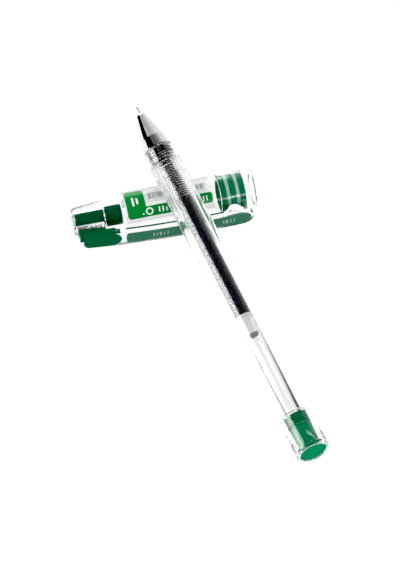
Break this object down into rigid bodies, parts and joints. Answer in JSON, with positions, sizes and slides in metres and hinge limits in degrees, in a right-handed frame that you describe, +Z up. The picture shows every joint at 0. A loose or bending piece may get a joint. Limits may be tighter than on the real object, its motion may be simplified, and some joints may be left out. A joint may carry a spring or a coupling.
{
  "type": "gel pen",
  "caption": "Needle-tip gel pen with a clear barrel, a ribbed grip and a chromed screw-on cone, lying across its own clear cap with a spring clip.",
  "frame": {"origin": "on the floor, under the middle of the box round the pen and the cap", "axes": "+Z up; +X along the cap's axis, out of its mouth; +Y is the way the pen's tip points, 10.5 degrees off in plan and about 7 degrees nose-up"},
  "size_m": [0.06, 0.1377, 0.0255],
  "materials": {
    "clear_plastic": "clear, polished",
    "green_plastic": "glossy emerald green",
    "green_inlay": "glossy emerald green",
    "chrome": "mirror chrome plate",
    "steel": "drawn stainless steel",
    "refill_plastic": "clear, slightly milky",
    "ink": "blue-black gel ink",
    "grease": "pale translucent grease",
    "holder_plastic": "natural white plastic",
    "seal_rubber": "soft pale elastomer",
    "label_film": "printed clear film"
  },
  "bodies": {
    "barrel": {"barrel": "clear_plastic", "tail_plug": "green_plastic"},
    "refill": {"refill_tube": "refill_plastic", "ink_column": "ink", "tip_holder": "holder_plastic", "needle_housing": "steel", "needle_pipe": "steel", "ball_spring": "steel"},
    "grease": {"grease_follower": "grease"},
    "ball": {"ball": "steel"},
    "nose_cone": {"nose_cone": "chrome"},
    "cap": {"cap_shell": "clear_plastic", "inner_cap": "green_plastic", "nib_seal": "seal_rubber", "mouth_sleeve": "green_plastic", "cap_label": "label_film", "clip_root": "green_plastic"},
    "clip": {"clip_arm": "clear_plastic", "clip_stripe": "green_inlay"}
  },
  "joints": [
    {"name": "refill_slide", "type": "slide", "parent": "barrel", "child": "refill", "axis": [-0.1808, 0.9757, 0.1234], "range_m": [0, 0.004]},
    {"name": "cone_turn", "type": "hinge", "parent": "refill", "child": "nose_cone", "pos_m": [0.0016, 0.05125, 0.02055], "axis": [-0.1808, 0.9757, 0.1234], "range_deg": [0, 1448]},
    {"name": "ball_roll", "type": "hinge", "parent": "refill", "child": "ball", "pos_m": [-0.00163, 0.06867, 0.02275], "axis": [0.9833, 0.1822, 0], "continuous": true},
    {"name": "grease_slide", "type": "slide", "parent": "refill", "child": "grease", "axis": [-0.1808, 0.9757, 0.1234], "range_m": [0, 0.0572], "deforming": ["ink_column"]},
    {"name": "cap_slide", "type": "slide", "parent": "barrel", "child": "cap", "axis": [-1, 0, 0], "range_m": [0, 0.045]},
    {"name": "clip_flex", "type": "hinge", "parent": "cap", "child": "clip", "pos_m": [-0.01815, 0.02963, 0.00681], "axis": [0, 0, -1], "range_deg": [0, 5], "stiffness_Nm_per_rad": 2}
  ],
  "couplings": [
    {"joint": "cone_turn", "follows": "refill_slide", "rad_per_m": 6283.2}
  ]
}
